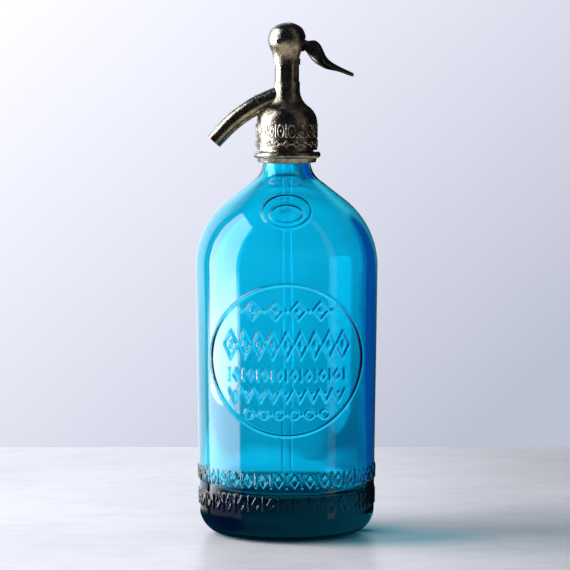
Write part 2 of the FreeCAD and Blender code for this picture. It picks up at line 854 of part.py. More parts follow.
def lever():
    """The lever: a hub on the pin, a flat root over the plunger's nose and the leaf."""
    corner = V(pivot.x + root_heel_offset, -root_thickness / 2, lever_under)
    under_length = root_length - root_heel_offset
    root = Part.makeBox(under_length, root_thickness, root_height, corner)
    hub = cross_bar(hub_radius, root_thickness / 2, pivot)
    pin_hole = cross_bar(pin_radius + pin_running_gap, root_thickness, pivot)
    return hub.fuse(root).fuse(leaf()).cut(pin_hole)


# ---------------------------------------------------------------- export

pieces = (
    bottle,
    dip_tube,
    tube_ferrule,
    tube_seal,
    mouth_gasket,
    collar_liner,
    collar_half_front,
    collar_half_rear,
    head_body,
    valve_seat,
    spout_joint_ring,
    spout_tube,
    packing_ring,
    gland_washer,
    spring_barrel,
    spring_washer,
    plunger_spring,
    plunger,
    plunger_button,
    valve_washer,
    backing_plate,
    valve_nut,
    dome_cap,
    lever,
    lever_pin,
)

os.makedirs("parts", exist_ok=True)
for piece in pieces:
    shape = piece()
    shape.exportStep("parts/" + piece.__name__ + ".step")
    box = shape.optimalBoundingBox()
    print(
        f"{piece.__name__:18s} solids {len(shape.Solids)} valid {shape.isValid()}"
        f" volume {shape.Volume:9.1f} x {box.XMin:7.2f} {box.XMax:7.2f}"
        f" y {box.YMin:7.2f} {box.YMax:7.2f} z {box.ZMin:7.2f} {box.ZMax:7.2f}"
    )
print(f"valve travel {valve_travel:.3f}, lever drop {lever_drop:.3f}, pivot {pivot}")
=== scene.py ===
"""Looks of the soda siphon: a blue glass bottle with moulded ornament under a worn metal head.

Everything is in metres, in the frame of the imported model: the origin is the centre of the bottle's
foot, +Z is up, +X is the lever's side, -X the spout's side and -Y the front.
"""

from math import asin, cos, degrees, pi, radians, sin, sqrt, tan

import bpy
import numpy as np
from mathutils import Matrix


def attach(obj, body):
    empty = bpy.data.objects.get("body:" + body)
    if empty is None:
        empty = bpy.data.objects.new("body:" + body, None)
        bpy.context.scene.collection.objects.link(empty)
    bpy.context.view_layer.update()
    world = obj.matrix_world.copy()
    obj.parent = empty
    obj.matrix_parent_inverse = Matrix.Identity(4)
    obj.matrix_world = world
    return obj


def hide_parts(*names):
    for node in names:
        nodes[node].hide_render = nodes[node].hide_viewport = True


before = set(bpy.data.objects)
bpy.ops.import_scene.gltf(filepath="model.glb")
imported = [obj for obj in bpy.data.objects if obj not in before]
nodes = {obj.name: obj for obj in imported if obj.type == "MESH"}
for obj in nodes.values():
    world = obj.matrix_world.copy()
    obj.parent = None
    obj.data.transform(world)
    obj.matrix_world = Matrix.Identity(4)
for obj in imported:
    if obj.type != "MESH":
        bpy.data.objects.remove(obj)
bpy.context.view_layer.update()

# ---------------------------------------------------------------- sizes, in metres

# bottle, outside
foot_ring_width = 0.0055
punt_depth = 0.006
heel_radius = 0.0155
heel_wall_radius = 0.0523
body_radius = 0.0543
shoulder_height = 0.1598
shoulder_radius = 0.0507
shoulder_cone_angle = 52.3
neck_blend_radius = 0.0143
neck_radius = 0.0142
neck_straight = 0.0143
bead_height = 0.0044
bead_proud = 0.0015
lip_height = 0.003
lip_step = 0.0007

# bottle, inside
wall = 0.0048
base_thickness = 0.0258
floor_crown = 0.0082
inner_heel_radius = 0.007
mouth_radius = 0.0102
mouth_blend_radius = 0.017
neck_fold_height = 0.2046
neck_fold_width = 0.0019
neck_fold_depth = 0.0006

# moulded ornament on the bottle
relief_height = 0.0007
stroke_width = 0.0015
ridge_flat_share = 0.35
ridge_slope_share = 0.9
front_cosine = 0.2
medallion_radius = 0.045
medallion_height = 0.1084
crest_half_width = 0.0151
crest_half_height = 0.0103
crest_height = 0.1945
inner_crest_half_width = 0.0104
inner_crest_half_height = 0.0062
inner_crest_drop = 0.0014
bar_width = 0.0014
heel_bar_angle = 10.0
upper_bar_count = 19
upper_band_height = 0.0376
upper_bar_half_height = 0.0046
lower_bar_count = 18
lower_band_height = 0.0232
lower_bar_half_height = 0.0052
heel_lozenge_half_width = 0.0026
lozenge_line = 0.0012
fine_line = 0.001
boss_half_width = 0.0052
boss_half_height = 0.0029
boss_share = 0.8

# the rows of the medallion: rises and drops are from its middle
top_row_rise = 0.0288
top_lozenge_count = 4
top_lozenge_pitch = 0.0132
top_lozenge_half_width = 0.0052
top_lozenge_half_height = 0.0062
top_inner_bead = 0.0016
top_outer_bead = 0.0013
chain_rise = 0.0087
chain_count = 9
chain_pitch = 0.0082
chain_half_width = 0.0045
chain_half_height = 0.0092
grain_stretch = 2.6
bar_row_drop = 0.0088
bar_row_count = 9
bar_row_pitch = 0.0084
bar_row_half_height = 0.0039
bar_row_lozenge_half_width = 0.0024
zigzag_drop = 0.0208
zigzag_pitch = 0.0076
zigzag_half_height = 0.0036
zigzag_half_length = 0.0342
zigzag_slope_cosine = 0.467
zigzag_bead_count = 9
zigzag_bead_rise = 0.0014
ring_row_drop = 0.0317
ring_count = 6
ring_pitch = 0.0088
ring_radius = 0.0025
small_bead = 0.0011

# heights between which the bottle has ornament
heel_zone = (0.016, 0.044)
medallion_zone = (0.061, 0.156)
crest_zone = (0.181, 0.207)

# unevenness of the glass: each wave is its share, its count around, its slope per metre and its start
ripple_depth = 0.00003
ripple_waves = [(1, 3, 41, 0), (1, 7, -67, 1.3)]
swell_depth = 0.00016
swell_waves = [(1, 2, 9, 0), (1, 5, -17, 0.7), (0.4, 9, 31, 2.1)]
swell_run_in = 0.02

# ornament on the bell
bell_radius = 0.01825
bell_shoulder_radius = 0.012
bell_shoulder_start = 0.24522
bell_upper_count = 18
bell_upper_height = 0.24085
bell_upper_half_height = 0.0041
bell_bar_width = 0.0013
bell_oval_half_width = 0.0019
bell_oval_inset = 0.0005
bell_oval_line = 0.0011
bell_grain = 0.0007
bell_grain_stretch = 1.6
bell_lower_count = 20
bell_lower_height = 0.2332
bell_lower_half_height = 0.0024
bell_lozenge_half_width = 0.0024
bell_bead = 0.0008
bell_relief = 0.0003
bell_sunk = 0.0001
bell_margin = 0.0005
bell_step = 0.00025

# mesh steps
fine_step = 0.0005
coarse_step = 0.0030
back_step = 0.0014
fine_front_angle = 78.0


# ---------------------------------------------------------------- mesh helpers


def mesh_object(name, points, faces):
    """A new smooth-shaded object with a mesh of points and faces."""
    mesh = bpy.data.meshes.new(name)
    mesh.from_pydata(points, [], faces)
    mesh.update()
    mesh.shade_smooth()
    obj = bpy.data.objects.new(name, mesh)
    bpy.context.scene.collection.objects.link(obj)
    return obj


def spun_faces(rows, columns):
    """Faces between the rows of points that spun_points makes, closed around the axis."""
    faces = []
    for level in range(rows - 1):
        first, second = level * columns, (level + 1) * columns
        for column in range(columns):
            after = (column + 1) % columns
            faces.append((first + column, first + after, second + after, second + column))
    return faces


def arc_points(centre, radius, start_angle, end_angle, count):
    """Points (radius, height) along an arc about centre."""
    turns = np.radians(np.linspace(start_angle, end_angle, count))
    return np.column_stack((centre[0] + radius * np.cos(turns), centre[1] + radius * np.sin(turns)))


def resampled(points, step_at):
    """The polyline's points again, spaced by step_at(height)."""
    points = np.asarray(points)
    lengths = np.concatenate(([0], np.cumsum(np.linalg.norm(np.diff(points, axis=0), axis=1))))
    at = 0.0
    places = []
    while at < lengths[-1]:
        places.append(at)
        at += step_at(np.interp(at, lengths, points[:, 1]))
    if lengths[-1] - places[-1] < 0.5 * step_at(points[-1][1]) and len(places) > 1:
        places.pop()
    places.append(lengths[-1])
    return np.column_stack([np.interp(places, lengths, points[:, k]) for k in (0, 1)])


def outline_normals(points):
    """Unit normals to the right of the way along a polyline of (radius, height)."""
    along = np.gradient(points, axis=0)
    along /= np.linalg.norm(along, axis=1)[:, None]
    return np.column_stack((along[:, 1], -along[:, 0]))


# ---------------------------------------------------------------- bottle


def bottle_outlines():
    """The outside from the punt's centre to the lip, and the inside from the lip to the floor."""
    cone = radians(shoulder_cone_angle)
    ring_outer = heel_wall_radius - heel_radius
    ring_inner = ring_outer - foot_ring_width
    punt_radius = (ring_inner**2 + punt_depth**2) / (2 * punt_depth)
    punt_angle = degrees(asin(ring_inner / punt_radius))
    shoulder_centre = (body_radius - shoulder_radius, shoulder_height)
    cone_start = (
        shoulder_centre[0] + shoulder_radius * cos(cone),
        shoulder_height + shoulder_radius * sin(cone),
    )
    cone_end_radius = neck_radius + neck_blend_radius * (1 - cos(cone))
    cone_end_height = cone_start[1] + (cone_start[0] - cone_end_radius) / tan(cone)
    neck_base = cone_end_height + neck_blend_radius * sin(cone)
    bead_bottom = neck_base + neck_straight
    bead_top = bead_bottom + bead_height
    bead_arc = (bead_height**2 / 4 + bead_proud**2) / (2 * bead_proud)
    bead_angle = degrees(asin(bead_height / 2 / bead_arc))
    bead_centre = (neck_radius + bead_proud - bead_arc, (bead_bottom + bead_top) / 2)
    neck_centre = (neck_radius + neck_blend_radius, neck_base)
    lip_radius = neck_radius - lip_step
    lip_top = bead_top + lip_height
    outside = np.vstack(
        (
            arc_points((0, punt_depth - punt_radius), punt_radius, 90, 90 - punt_angle, 40),
            arc_points((ring_outer, heel_radius), heel_radius, -90, 0, 80),
            arc_points(shoulder_centre, shoulder_radius, 0, shoulder_cone_angle, 200),
            arc_points(neck_centre, neck_blend_radius, 180 + shoulder_cone_angle, 180, 60),
            arc_points(bead_centre, bead_arc, -bead_angle, bead_angle, 20),
            [(lip_radius, bead_top), (lip_radius, lip_top), (mouth_radius, lip_top)],
        )
    )
    inner_shoulder = shoulder_radius - wall
    inner_start = (
        shoulder_centre[0] + inner_shoulder * cos(cone),
        shoulder_height + inner_shoulder * sin(cone),
    )
    inner_end_radius = mouth_radius + mouth_blend_radius * (1 - cos(cone))
    inner_end_height = inner_start[1] + (inner_start[0] - inner_end_radius) / tan(cone)
    bore_centre = (mouth_radius + mouth_blend_radius, inner_end_height + mouth_blend_radius * sin(cone))
    floor_edge = heel_wall_radius - wall - inner_heel_radius
    crown_radius = (floor_edge**2 + floor_crown**2) / (2 * floor_crown)
    crown_angle = degrees(asin(floor_edge / crown_radius))
    floor_top = base_thickness + floor_crown
    heel_centre = (floor_edge, base_thickness + inner_heel_radius)
    inside = np.vstack(
        (
            [(mouth_radius, lip_top)],
            arc_points(bore_centre, mouth_blend_radius, 180, 180 + shoulder_cone_angle, 60),
            arc_points(shoulder_centre, inner_shoulder, shoulder_cone_angle, 0, 120),
            arc_points(heel_centre, inner_heel_radius, 0, -90, 40),
            arc_points((0, floor_top - crown_radius), crown_radius, 90 - crown_angle, 90, 40),
        )
    )
    return outside, inside


def ridge(distance, width=stroke_width):
    """The height share of a raised line at a distance from its middle."""
    share = np.clip((2 * np.abs(distance) / width - ridge_flat_share) / ridge_slope_share, 0, 1)
    return 1 - share * share * (3 - 2 * share)


def bead(x, z, radius):
    """The height share of a round raised dot about the origin."""
    distance = np.hypot(x, z) / radius
    return np.sqrt(np.clip(1 - distance**2, 0, 1))


def oval_distance(x, z, half_width, half_height):
    """The distance from an oval about the origin, near enough close to its line."""
    share = np.hypot(x / half_width, z / half_height)
    slope = np.hypot(x / half_width**2, z / half_height**2) / np.maximum(share, 1e-6)
    return (share - 1) / np.maximum(slope, 1e-6)


def lozenge_line_at(x, z, half_width, half_height, line=lozenge_line):
    """The height share of a lozenge's line about the origin; its outer edge is the lozenge."""
    outside = np.abs(x) / half_width + np.abs(z) / half_height - 1
    outside = outside * half_width * half_height / sqrt(half_width**2 + half_height**2)
    return ridge(outside + line / 2, line)


def upright_bar(x, z, half_height, width=bar_width):
    """The height share of a short upright bar through the origin."""
    return ridge(np.hypot(x, np.maximum(np.abs(z) - half_height + width / 2, 0)), width)


def repeated(x, pitch):
    """x measured from the nearest of the places that lie one pitch apart."""
    return x - pitch * np.round(x / pitch)


def row(x, count, pitch, motif):
    """A motif repeated in a row about the middle; motif takes x from its own middle."""
    first = -pitch * (count - 1) / 2
    number = np.clip(np.round((x - first) / pitch), 0, count - 1)
    own = x - first - pitch * number
    neighbour = own - pitch * np.sign(own)
    other = number + np.sign(own)
    has_neighbour = (other >= 0) & (other < count)
    return np.maximum(motif(own), np.where(has_neighbour, motif(neighbour), 0))


def medallion(x, z):
    """The round frame on the front with rows of plain ornament, as height shares."""
    height = z - medallion_height
    relief = [ridge(np.hypot(x, height) - (medallion_radius - stroke_width / 2))]

    def add_row(count, pitch, motif):
        relief.append(row(x, count, pitch, motif))

    # the top row: lozenges with a bead inside, and beads between them
    top = height - top_row_rise
    half_width, half_height = top_lozenge_half_width, top_lozenge_half_height
    pitch = top_lozenge_pitch
    add_row(top_lozenge_count, pitch, lambda own: lozenge_line_at(own, top, half_width, half_height))
    add_row(top_lozenge_count, pitch, lambda own: bead(own, top, top_inner_bead))
    add_row(top_lozenge_count + 1, pitch, lambda own: bead(own, top, top_outer_bead))

    # the chain of tall lozenges, each with an upright grain inside
    chain = height - chain_rise
    half_width, half_height = chain_half_width, chain_half_height
    add_row(chain_count, chain_pitch, lambda own: lozenge_line_at(own, chain, half_width, half_height))
    add_row(chain_count, chain_pitch, lambda own: bead(own, chain / grain_stretch, small_bead))

    # bars between small lozenges
    low = height + bar_row_drop
    half_width, half_height = bar_row_lozenge_half_width, bar_row_half_height
    pitch = bar_row_pitch
    add_row(bar_row_count, pitch, lambda own: upright_bar(own, low, half_height))
    add_row(
        bar_row_count - 1,
        pitch,
        lambda own: lozenge_line_at(own, low, half_width, half_height, fine_line),
    )

    # a zigzag with a bead in each of its upper gaps
    lower = height + zigzag_drop
    rise = 2 * zigzag_half_height * np.abs(repeated(x, zigzag_pitch)) / (zigzag_pitch / 2)
    zigzag = ridge((lower - (rise - zigzag_half_height)) * zigzag_slope_cosine, lozenge_line)
    relief.append(np.where(np.abs(x) < zigzag_half_length, zigzag, 0))
    add_row(
        zigzag_bead_count, zigzag_pitch, lambda own: bead(own, lower - zigzag_bead_rise, small_bead)
    )

    # rings between beads
    lowest = height + ring_row_drop
    add_row(ring_count, ring_pitch, lambda own: ridge(np.hypot(own, lowest) - ring_radius, fine_line))
    add_row(ring_count - 1, ring_pitch, lambda own: bead(own, lowest, small_bead))
    return np.maximum.reduce(relief)


def crest(x, z):
    """The oval on the shoulder: a frame, an inner ring and a low boss."""
    height = z - crest_height
    half_line = stroke_width / 2
    line = oval_distance(x, height, crest_half_width - half_line, crest_half_height - half_line)
    up = height + inner_crest_drop
    inner_half_width = inner_crest_half_width - half_line
    inner = oval_distance(x, up, inner_half_width, inner_crest_half_height - half_line)
    boss = np.clip(1 - (x / boss_half_width) ** 2 - (up / boss_half_height) ** 2, 0, 1)
    boss = boss * boss * (3 - 2 * boss)
    return np.maximum.reduce([ridge(line), ridge(inner), boss_share * boss])


def heel_band(along, z, height, half_height, count):
    """A band of bars with a lozenge in each gap; along is the way around the heel's wall."""
    pitch = radians(heel_bar_angle) * heel_wall_radius
    up = z - height
    half_width = heel_lozenge_half_width
    bars = row(along, count, pitch, lambda own: upright_bar(own, up, half_height))
    lozenges = row(
        along,
        count - 1,
        pitch,
        lambda own: lozenge_line_at(own, up, half_width, half_height, fine_line),
    )
    return np.maximum(bars, lozenges)


def heel_bands(angle, z):
    """The two bands around the front of the heel. The angle is in radians from the front."""
    along = ((angle + pi) % (2 * pi) - pi) * heel_wall_radius
    upper = heel_band(along, z, upper_band_height, upper_bar_half_height, upper_bar_count)
    lower = heel_band(along, z, lower_band_height, lower_bar_half_height, lower_bar_count)
    return np.maximum(upper, lower)


def within(height, zone):
    """Whether a height, or each of an array of heights, lies in a zone."""
    return (height > zone[0]) & (height < zone[1])


def bottle_relief(angle, radius, z):
    """The raised ornament's height on the outside."""
    x = radius * np.sin(angle)
    front = np.cos(angle) > front_cosine
    share = heel_bands(angle, z)
    share = np.maximum(share, np.where(front & within(z, medallion_zone), medallion(x, z), 0))
    share = np.maximum(share, np.where(front & within(z, crest_zone), crest(x, z), 0))
    return relief_height * share


def column_angles():
    """Angles from the front (-Y), close together on the front and wider apart behind."""
    edge = radians(fine_front_angle)
    front_count = int(2 * edge * body_radius / fine_step)
    back_count = int((2 * pi - 2 * edge) * body_radius / back_step)
    front = np.linspace(-edge, edge, front_count, endpoint=False)
    back = np.linspace(edge, 2 * pi - edge, back_count, endpoint=False)
    return np.concatenate((front, back))


def spun_points(radii, heights, angles):
    """Points for each outline row and each column; radii and heights are arrays of rows by columns."""
    turned = np.broadcast_to(angles, radii.shape)
    rows = np.stack((radii * np.sin(turned), -radii * np.cos(turned), heights), axis=-1)
    return rows.reshape(-1, 3)


def wave_sum(angles, heights, waves):
    """The sum of slanting waves around the bottle."""
    return sum(
        share * np.sin(count * angles + slope * heights + start)
        for share, count, slope, start in waves
    )


def bottle_mesh():
    """The glass as one closed mesh, with its ornament raised on the outside."""

    def outside_step(height):
        has_relief = any(within(height, zone) for zone in (heel_zone, medallion_zone, crest_zone))
        return fine_step if has_relief else coarse_step / 2

    def inside_step(height):
        return fine_step if abs(height - neck_fold_height) < 4 * neck_fold_width else coarse_step

    outside, inside = bottle_outlines()
    rim = outside[-2]
    outside = resampled(outside[:-2], outside_step)
    inside = resampled(inside, inside_step)
    angles = column_angles()
    normals = outline_normals(outside)
    radii = np.repeat(outside[:, :1], len(angles), axis=1)
    heights = np.repeat(outside[:, 1:], len(angles), axis=1)
    turned = np.broadcast_to(angles, radii.shape)
    raised = bottle_relief(turned, radii, heights)
    upright_share = np.clip(normals[:, :1], 0, 1)
    ripple = wave_sum(turned, heights, ripple_waves)
    raised = raised - ripple_depth * (2 + ripple) * upright_share
    outside_radii = radii + raised * normals[:, :1]
    outside_heights = heights + raised * normals[:, 1:]

    inner_radii = np.repeat(inside[:, :1], len(angles), axis=1)
    inner_heights = np.repeat(inside[:, 1:], len(angles), axis=1)
    turned = np.broadcast_to(angles, inner_radii.shape)
    swell = wave_sum(turned, inner_heights, swell_waves)
    body_share = np.clip((inner_radii - mouth_radius) / swell_run_in, 0, 1)
    inner_radii = inner_radii + swell_depth * swell * body_share
    fold = np.exp(-(((inner_heights - neck_fold_height) / neck_fold_width) ** 2))
    inner_radii = inner_radii - neck_fold_depth * fold * np.clip(-np.cos(turned), 0, 1)

    rim_radii = np.full((1, len(angles)), rim[0])
    rim_heights = np.full((1, len(angles)), rim[1])
    all_radii = np.vstack((outside_radii[1:], rim_radii, inner_radii[:-1]))
    all_heights = np.vstack((outside_heights[1:], rim_heights, inner_heights[:-1]))
    points = spun_points(all_radii, all_heights, angles)
    rows, columns = all_radii.shape
    faces = spun_faces(rows, columns)
    under, floor = len(points), len(points) + 1
    last = (rows - 1) * columns
    for column in range(columns):
        after = (column + 1) % columns
        faces.append((under, after, column))
        faces.append((floor, last + column, last + after))
    points = np.vstack((points, [(0, 0, outside[0][1])], [(0, 0, inside[-1][1])]))
    return mesh_object("glass_bottle", points.tolist(), faces)


# ---------------------------------------------------------------- materials


def new_material(name):
    """A material, its node tree and the output node, which is the only one in the tree."""
    material = bpy.data.materials.new(name)
    material.use_nodes = True
    tree = material.node_tree
    tree.nodes.clear()
    output = tree.nodes.new("ShaderNodeOutputMaterial")
    return material, tree, output


def glass_material(name, tint, absorbed, density, ior, coat=0.0):
    """Glass tinted at its surface and, more strongly, along the way through it."""
    material, tree, output = new_material(name)
    shader = tree.nodes.new("ShaderNodeBsdfPrincipled")
    shader.inputs["Base Color"].default_value = (*tint, 1)
    shader.inputs["Roughness"].default_value = 0
    shader.inputs["IOR"].default_value = ior
    shader.inputs["Transmission Weight"].default_value = 1
    shader.inputs["Coat Weight"].default_value = coat
    shader.inputs["Coat Roughness"].default_value = 0.12
    volume = tree.nodes.new("ShaderNodeVolumeAbsorption")
    volume.inputs["Color"].default_value = (*absorbed, 1)
    volume.inputs["Density"].default_value = density
    tree.links.new(shader.outputs["BSDF"], output.inputs["Surface"])
    tree.links.new(volume.outputs["Volume"], output.inputs["Volume"])
    return material


def noise(tree, scale, detail=6.0, roughness=0.6):
    """A noise texture in the object's own coordinates, with a scale in features per metre."""
    coordinates = tree.nodes.new("ShaderNodeTexCoord")
    texture = tree.nodes.new("ShaderNodeTexNoise")
    texture.inputs["Scale"].default_value = scale
    texture.inputs["Detail"].default_value = detail
    texture.inputs["Roughness"].default_value = roughness
    tree.links.new(coordinates.outputs["Object"], texture.inputs["Vector"])
    return texture.outputs["Fac"]


def ramp(tree, factor, stops):
    """A colour ramp over a factor, from a list of (place, colour)."""
    node = tree.nodes.new("ShaderNodeValToRGB")
    elements = node.color_ramp.elements
    while len(elements) < len(stops):
        elements.new(0.5)
    for element, (place, colour) in zip(elements, stops):
        element.position = place
        element.color = (*colour, 1)
    tree.links.new(factor, node.inputs["Fac"])
    return node.outputs["Color"]


def metal_material(name, worn, tarnished, roughness, pit_depth=0.0001, pit_scale=900):
    """Plated metal with tarnish in patches, uneven gloss and a pitted surface."""
    material, tree, output = new_material(name)
    shader = tree.nodes.new("ShaderNodeBsdfPrincipled")
    patches = noise(tree, scale=210, detail=9, roughness=0.68)
    plate = ramp(tree, patches, [(0.36, tarnished), (0.62, worn)])
    tree.links.new(plate, shader.inputs["Base Color"])
    low, high = roughness
    uneven = noise(tree, scale=640, detail=4)
    gloss = ramp(tree, uneven, [(0.3, (low,) * 3), (0.7, (high,) * 3)])
    tree.links.new(gloss, shader.inputs["Roughness"])
    shader.inputs["Metallic"].default_value = 1
    bump = tree.nodes.new("ShaderNodeBump")
    bump.inputs["Strength"].default_value = 1.0
    bump.inputs["Distance"].default_value = pit_depth
    pits = noise(tree, pit_scale, detail=7, roughness=0.62)
    tree.links.new(pits, bump.inputs["Height"])
    tree.links.new(bump.outputs["Normal"], shader.inputs["Normal"])
    tree.links.new(shader.outputs["BSDF"], output.inputs["Surface"])
    return material


def rubber_material(name, colour):
    """A matt, slightly mottled material."""
    material, tree, output = new_material(name)
    shader = tree.nodes.new("ShaderNodeBsdfPrincipled")
    dark = tuple(0.6 * channel for channel in colour)
    mottled = ramp(tree, noise(tree, 400), [(0.3, dark), (0.7, colour)])
    tree.links.new(mottled, shader.inputs["Base Color"])
    shader.inputs["Roughness"].default_value = 0.65
    tree.links.new(shader.outputs["BSDF"], output.inputs["Surface"])
    return material


# ---------------------------------------------------------------- camera, light and stage

camera_distance = 1.787
camera_height = 0.283
camera_shift_x = -0.001
camera_pitch = 4.303
focal_length = 189.5
table_back = 0.394
table_reach = 1.2

# the tall window on the left
window_distance = 1.16
window_width = 1.04
window_height = 1.70
window_foot = -0.065
window_middle = -0.02
window_light_level = 6.35
window_light_colour = (1.0, 0.90, 0.925)
window_shine_level = 7.2
window_shine_colour = (1.0, 0.94, 0.84)
window_shine_gap = 0.01
shine_fade_start = 0.14
shine_fade_end = 0.50
shine_top_share = 0.62

# the table near the bottle: its shade in reflections, painted on a dark glowing disc under the table,
# and the glass's shadow, painted into the table's colour as a blue-green tinge
# the disc of painted shade: its size, how much of it is solid, how far under the table it lies, its
# corners and its colour
foot_shade_radius = 0.125
foot_shade_solid_share = 0.7
foot_shade_depth = 0.0002
foot_shade_corners = 48
foot_shade_painted_colour = (0.004, 0.03, 0.04)
# the wide painted shadow of the bottle to its right, and the tints it multiplies the table by
glass_shade_centre = (0.055, -0.02, 0)
glass_shade_size = (0.075, 0.045, 1)
painted_glass_shadow_tints = [(0.35, (0.22, 0.72, 0.78)), (1.0, (1, 1, 1))]
# a darker painted shadow close beside the heel
heel_shade_centre = (0.046, 0.004, 0)
heel_shade_size = (0.034, 0.035, 1)
painted_heel_shadow_tints = [
    (0.0, (0.0, 0.72, 0.80)),
    (0.35, (0.10, 0.86, 0.92)),
    (0.6, (0.42, 0.95, 0.97)),
    (1.0, (1, 1, 1)),
]

# the table's stone, and its gloss, which rises between two distances from the middle of the painted
# shadow beside the heel
cloud_tones = [(0.35, (0.71, 0.72, 0.74)), (0.6, (0.82, 0.82, 0.84))]
vein_size = (0.16, 0.05, 1)
vein_tones = [(0.44, (1, 1, 1)), (0.50, (0.93, 0.935, 0.95)), (0.56, (1, 1, 1))]
table_gloss = 0.5
dull_end = 0.1
glossy_start = 1.3

# the room's colours, and how its wall fades from the upper left to the lower right
wall_fall = (1.0, 0.05, -1.1)
wall_bright_end = -0.10
wall_dim_end = 0.25
wall_bright = (0.90, 0.90, 1.0)
wall_dim = (0.43, 0.455, 0.545)
wall_level = 1.18

# the room as the glass shows it. A lobe is an azimuth and the degrees from it where it starts and
# ends fading. Other pairs are where a passage starts and ends, in a direction's rise or side part.
glass_level = 1.25 * wall_level
dim_side_colour = (0.0, 0.15, 0.56)
dim_side_lobe = (45, 21, 27)
dim_side_rises = (-0.34, -0.24)
shaded_wall = (0.10, 0.11, 0.20)
corner_fall = (1.0, 0.0, -4.5)
corner_passage = (0.56, 0.76)
dark_ceiling = (0.10, 0.17, 0.28)
ceiling_rises = (0.35, 0.65)
lower_wall_share = 0.76
lower_wall_rises = (-0.085, -0.122)
far_table_share = 1.22
far_table_rises = (-0.131, -0.136)
shaded_table_sides = (0.03, 0.22)
near_table_share = 0.3
near_table_rises = (-0.28, -0.42)

# the room's light on matt surfaces
room_fill = (0.66, 0.82, 0.90)
room_fill_level = 0.42

# what the room holds where metal and glass mirror it
dark_room = (0.006, 0.007, 0.009)
bright_wall = (1.15, 1.25, 1.45)
bright_wall_level = 1.5
bright_wall_lobe = (-24, 24, 29)
near_table = (0.34, 0.36, 0.42)
sill_glow = (5.5, 5.4, 6.0)
sill_level = 6.0
sill_lobe = (-88, 27, 31)
table_glow = (0.62, 0.52, 0.36)
streak_lobe = (119, 3, 7)
streak_glow = (0.42, 0.33, 0.25)


def add_camera():
    """The camera that the photograph's perspective was fitted to."""
    data = bpy.data.cameras.new("camera")
    data.lens = focal_length
    data.sensor_width = 36
    camera = bpy.data.objects.new("camera", data)
    camera.location = (camera_shift_x, -camera_distance, camera_height)
    camera.rotation_euler = (radians(90 - camera_pitch), 0, 0)
    bpy.context.scene.collection.objects.link(camera)
    bpy.context.scene.camera = camera


def window_light(name, distance, radiance, colour):
    """An upright rectangular light to the left of the bottle, as bright all over as radiance."""
    data = bpy.data.lights.new(name, "AREA")
    data.shape = "RECTANGLE"
    data.size = window_width
    data.size_y = window_height
    data.energy = radiance * pi * window_width * window_height
    data.color = colour
    light = bpy.data.objects.new(name, data)
    light.location = (-distance, window_middle, window_foot + window_height / 2)
    light.rotation_euler = (radians(90), 0, radians(-90))
    bpy.context.scene.collection.objects.link(light)
    return light


def fade_upwards(data):
    """Lets an area light grow dimmer from near its foot to the middle of its height."""
    data.use_nodes = True
    tree = data.node_tree
    place = tree.nodes.new("ShaderNodeNewGeometry")
    parts = tree.nodes.new("ShaderNodeSeparateXYZ")
    tree.links.new(place.outputs["Parametric"], parts.inputs[0])
    fade = tree.nodes.new("ShaderNodeMapRange")
    tree.links.new(parts.outputs["Y"], fade.inputs["Value"])
    fade.inputs["From Min"].default_value = shine_fade_start
    fade.inputs["From Max"].default_value = shine_fade_end
    fade.inputs["To Min"].default_value = 1.0
    fade.inputs["To Max"].default_value = shine_top_share
    tree.links.new(fade.outputs["Result"], tree.nodes["Emission"].inputs["Strength"])


def add_window():
    """The window: one light for the room and the glass, and a brighter one that only shines."""
    lit = window_light("window", window_distance, window_light_level, window_light_colour)
    lit.visible_glossy = False
    lit.visible_camera = False
    nearer = window_distance - window_shine_gap
    shine = window_light("window_shine", nearer, window_shine_level, window_shine_colour)
    fade_upwards(shine.data)
    shine.visible_camera = False
    shine.visible_diffuse = False
    shine.visible_transmission = False
    shine.visible_volume_scatter = False


def ring_of(radius, height, count):
    """Points around the axis."""
    turns = [2 * pi * step / count for step in range(count)]
    return [(radius * cos(turn), radius * sin(turn), height) for turn in turns]


def add_painted_foot_shade():
    """A dark glowing disc just under the table, which paints the table's shade close to the bottle into
    reflections only.
    """
    points = ring_of(foot_shade_radius, -foot_shade_depth, foot_shade_corners)
    shade = mesh_object("foot_shade", points, [tuple(range(foot_shade_corners))])
    material, tree, output = new_material("foot_shade")
    # its dark emission is painted shade, fading out towards the disc's edge
    glow = tree.nodes.new("ShaderNodeEmission")
    glow.inputs["Color"].default_value = (*foot_shade_painted_colour, 1)
    clear = tree.nodes.new("ShaderNodeBsdfTransparent")
    away = length_of(tree, placed(tree, (0, 0, 0), (foot_shade_radius,) * 3))
    edge = smooth_step(tree, away, foot_shade_solid_share, 1.0)
    tree.links.new(mixed(tree, edge, glow.outputs[0], clear.outputs[0]), output.inputs["Surface"])
    shade.data.materials.append(material)
    shade.visible_camera = False
    shade.visible_diffuse = False
    shade.visible_transmission = False
    shade.visible_shadow = False


def multiplied(tree, first, second):
    """The product of two colours."""
    node = tree.nodes.new("ShaderNodeVectorMath")
    node.operation = "MULTIPLY"
    tree.links.new(first, node.inputs[0])
    tree.links.new(second, node.inputs[1])
    return node.outputs[0]


def placed(tree, centre, size):
    """The object's own coordinates, measured from a centre in units of a size."""
    coordinates = tree.nodes.new("ShaderNodeTexCoord")
    mapping = tree.nodes.new("ShaderNodeMapping")
    mapping.vector_type = "TEXTURE"
    mapping.inputs["Location"].default_value = centre
    mapping.inputs["Scale"].default_value = size
    tree.links.new(coordinates.outputs["Object"], mapping.inputs["Vector"])
    return mapping.outputs["Vector"]


def length_of(tree, vector):
    """The length of a vector."""
    node = tree.nodes.new("ShaderNodeVectorMath")
    node.operation = "LENGTH"
    tree.links.new(vector, node.inputs[0])
    return node.outputs["Value"]


